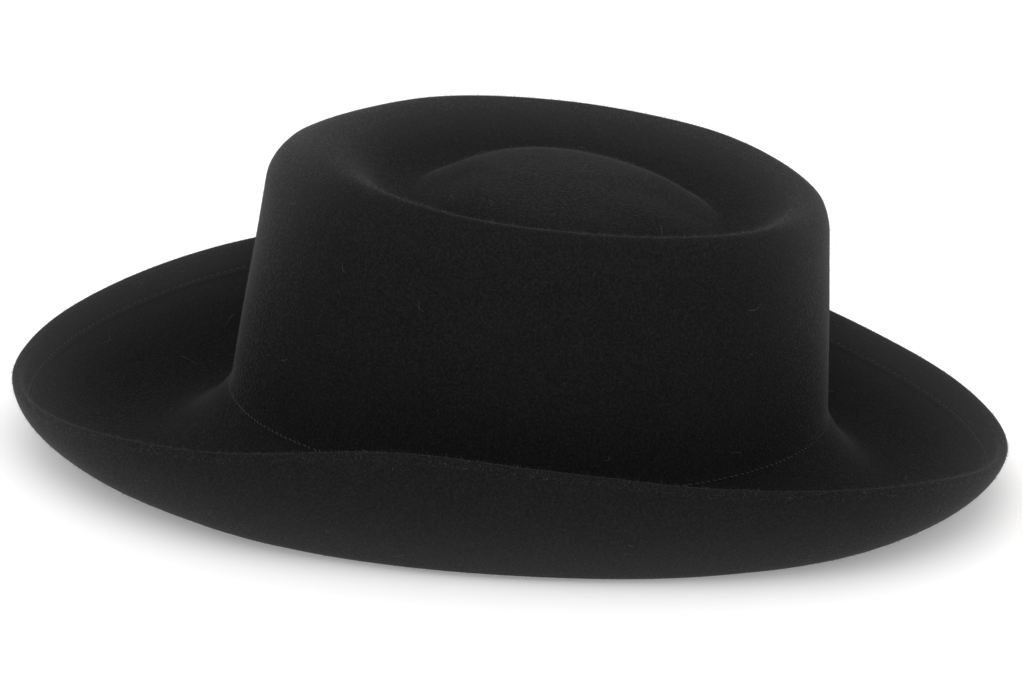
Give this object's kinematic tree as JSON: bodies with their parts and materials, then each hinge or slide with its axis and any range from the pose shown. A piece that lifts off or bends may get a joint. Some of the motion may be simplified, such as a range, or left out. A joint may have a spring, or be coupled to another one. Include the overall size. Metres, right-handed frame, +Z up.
{
  "type": "velour hat",
  "caption": "Black velour felt hat with a telescope crown pressed down round a raised centre, and a brim rolled up all round with a folded, stitched edge.",
  "frame": {"origin": "centre of the hat's outline seen from above, on the surface that it rests on, so the lowest line of the brim is at z = 0", "axes": "+Z up, -Y to the front of the hat, +X to the wearer's left"},
  "size_m": [0.2346, 0.3449, 0.1169],
  "materials": {
    "velour": "matt",
    "ribbon": "satin"
  },
  "bodies": {
    "root": {"felt_body": "velour", "sweatband": "ribbon"}
  },
  "joints": []
}
